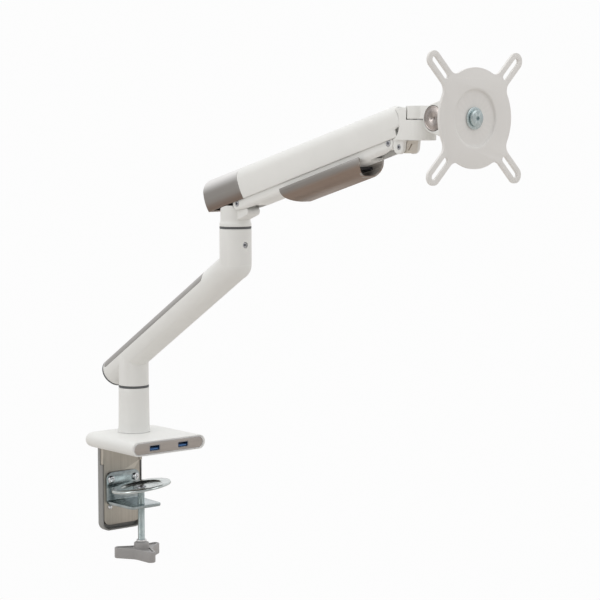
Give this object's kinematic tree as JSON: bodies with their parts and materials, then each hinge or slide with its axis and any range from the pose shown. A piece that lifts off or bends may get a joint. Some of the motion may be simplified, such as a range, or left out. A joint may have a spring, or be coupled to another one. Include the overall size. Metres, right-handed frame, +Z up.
{
  "type": "monitor arm",
  "caption": "Desk-clamped monitor arm: slab base with charging sockets, swinging lower arm, balanced lifting upper arm and a tilting, turning screen plate.",
  "frame": {"origin": "on the underside of the desk pad, straight under the post axis, where the base stands on the desk", "axes": "+Z up along the post axis; -Y forward, the way the arm reaches and the screen plate faces; +X to the left as seen from in front of the screen plate"},
  "size_m": [0.1174, 0.5805, 0.5472],
  "materials": {
    "white": "satin white powder coat on cast aluminium",
    "white_steel": "satin warm white powder coat on pressed steel",
    "dark_plastic": "matte dark grey",
    "aluminium": "brushed along its length",
    "taupe_steel": "satin",
    "cover_grey": "satin grey",
    "zinc": "bluish zinc plate",
    "steel": "bright machined steel",
    "chrome": "polished",
    "knob_grey": "silver-grey lacquer on a die casting",
    "black_rubber": "matte",
    "black_plastic": "matte",
    "blue_plastic": "matte blue",
    "bronze": "sintered bronze",
    "board": "green circuit board"
  },
  "bodies": {
    "base": {"base_cover": "white", "usb_panel": "aluminium", "panel_bezel": "chrome", "usb_socket_left": "steel", "usb_tongue_left": "blue_plastic", "usb_socket_right": "steel", "usb_tongue_right": "blue_plastic", "usb_board": "board", "desk_pad": "black_rubber", "post": "white", "post_shaft": "steel", "post_ring": "dark_plastic", "clamp_frame": "taupe_steel", "clamp_cover": "cover_grey", "clamp_bracket": "zinc", "bracket_screw_left": "chrome", "frame_rivet_left": "chrome", "bracket_screw_right": "chrome", "frame_rivet_right": "chrome"},
    "clamp_carriage": {"spindle_collar": "chrome"},
    "clamp_screw": {"clamp_spindle": "zinc", "clamp_knob": "knob_grey"},
    "clamp_disc": {"pressure_disc": "zinc", "disc_rivet": "steel"},
    "lower_arm": {"lower_arm": "white", "cable_cover": "aluminium", "tail_cap": "dark_plastic", "post_bush": "bronze", "elbow_bush": "bronze", "elbow_ring": "dark_plastic", "elbow_set_screw": "steel"},
    "rear_knuckle": {"rear_knuckle": "white", "elbow_shaft": "steel"},
    "upper_arm": {"arm_housing": "white", "rear_cover": "aluminium", "housing_rear_pin": "steel", "housing_front_pin": "steel", "spring_cylinder": "steel", "spring_pin": "steel"},
    "link": {"arm_link": "white", "link_rear_pin": "steel", "link_front_pin": "steel", "cable_tray": "aluminium", "tray_clip_rear": "black_plastic", "tray_clip_front": "black_plastic"},
    "spring": {"spring_rod": "chrome", "cam_roller": "steel"},
    "front_knuckle": {"front_knuckle": "white", "knuckle_screw": "steel", "knuckle_insert": "taupe_steel"},
    "head": {"swivel_head": "white", "swivel_pin": "steel"},
    "tilt": {"tilt_bracket": "white", "tilt_shaft": "steel", "tilt_cap_left": "steel", "tilt_cap_right": "steel", "friction_washer": "black_plastic"},
    "screen": {"screen_plate": "white_steel", "plate_washer": "zinc", "plate_bolt": "zinc"}
  },
  "joints": [
    {"name": "arm_swing", "type": "hinge", "parent": "base", "child": "lower_arm", "pos_m": [0, 0, 0.08], "axis": [0, 0, 1], "range_deg": [-180, 180]},
    {"name": "elbow_swing", "type": "hinge", "parent": "lower_arm", "child": "rear_knuckle", "pos_m": [0, -0.1844, 0.25], "axis": [0, 0, 1], "range_deg": [-120, 120]},
    {"name": "arm_lift", "type": "hinge", "parent": "rear_knuckle", "child": "upper_arm", "pos_m": [0, -0.2008, 0.2949], "axis": [-1, 0, 0], "range_deg": [-55, 2]},
    {"name": "link_swing", "type": "hinge", "parent": "rear_knuckle", "child": "link", "pos_m": [0, -0.2008, 0.2769], "axis": [-1, 0, 0], "range_deg": [-56, 3]},
    {"name": "spring_travel", "type": "slide", "parent": "upper_arm", "child": "spring", "axis": [0, -0.9632, 0.2689], "range_m": [-0.0005, 0.0082]},
    {"name": "head_level", "type": "hinge", "parent": "upper_arm", "child": "front_knuckle", "pos_m": [0, -0.42753, 0.3582], "axis": [-1, 0, 0], "range_deg": [-3, 56]},
    {"name": "head_swivel", "type": "hinge", "parent": "front_knuckle", "child": "head", "pos_m": [0, -0.46, 0.3623], "axis": [0, 0, 1], "range_deg": [-55, 55]},
    {"name": "screen_tilt", "type": "hinge", "parent": "head", "child": "tilt", "pos_m": [0, -0.4963, 0.363], "axis": [1, 0, 0], "range_deg": [-75, 75]},
    {"name": "screen_turn", "type": "hinge", "parent": "tilt", "child": "screen", "pos_m": [0, -0.5278, 0.363], "axis": [0, 1, 0], "range_deg": [-90, 90]},
    {"name": "clamp_travel", "type": "slide", "parent": "base", "child": "clamp_carriage", "axis": [0, 0, 1], "range_m": [-0.01, 0.034]},
    {"name": "clamp_turn", "type": "hinge", "parent": "clamp_carriage", "child": "clamp_screw", "pos_m": [0, -0.0125, -0.08], "axis": [0, 0, 1], "range_deg": [-2890, 9800]},
    {"name": "disc_tilt", "type": "hinge", "parent": "clamp_carriage", "child": "clamp_disc", "pos_m": [0, -0.0125, -0.0435], "axis": [-0.6428, -0.766, 0], "range_deg": [-17, 1]}
  ],
  "couplings": [
    {"joint": "link_swing", "follows": "arm_lift", "ratio": 1},
    {"joint": "spring_travel", "follows": "arm_lift", "m_per_rad": -0.008334},
    {"joint": "head_level", "follows": "arm_lift", "ratio": -1},
    {"joint": "clamp_turn", "follows": "clamp_travel", "rad_per_m": 5026.6}
  ]
}
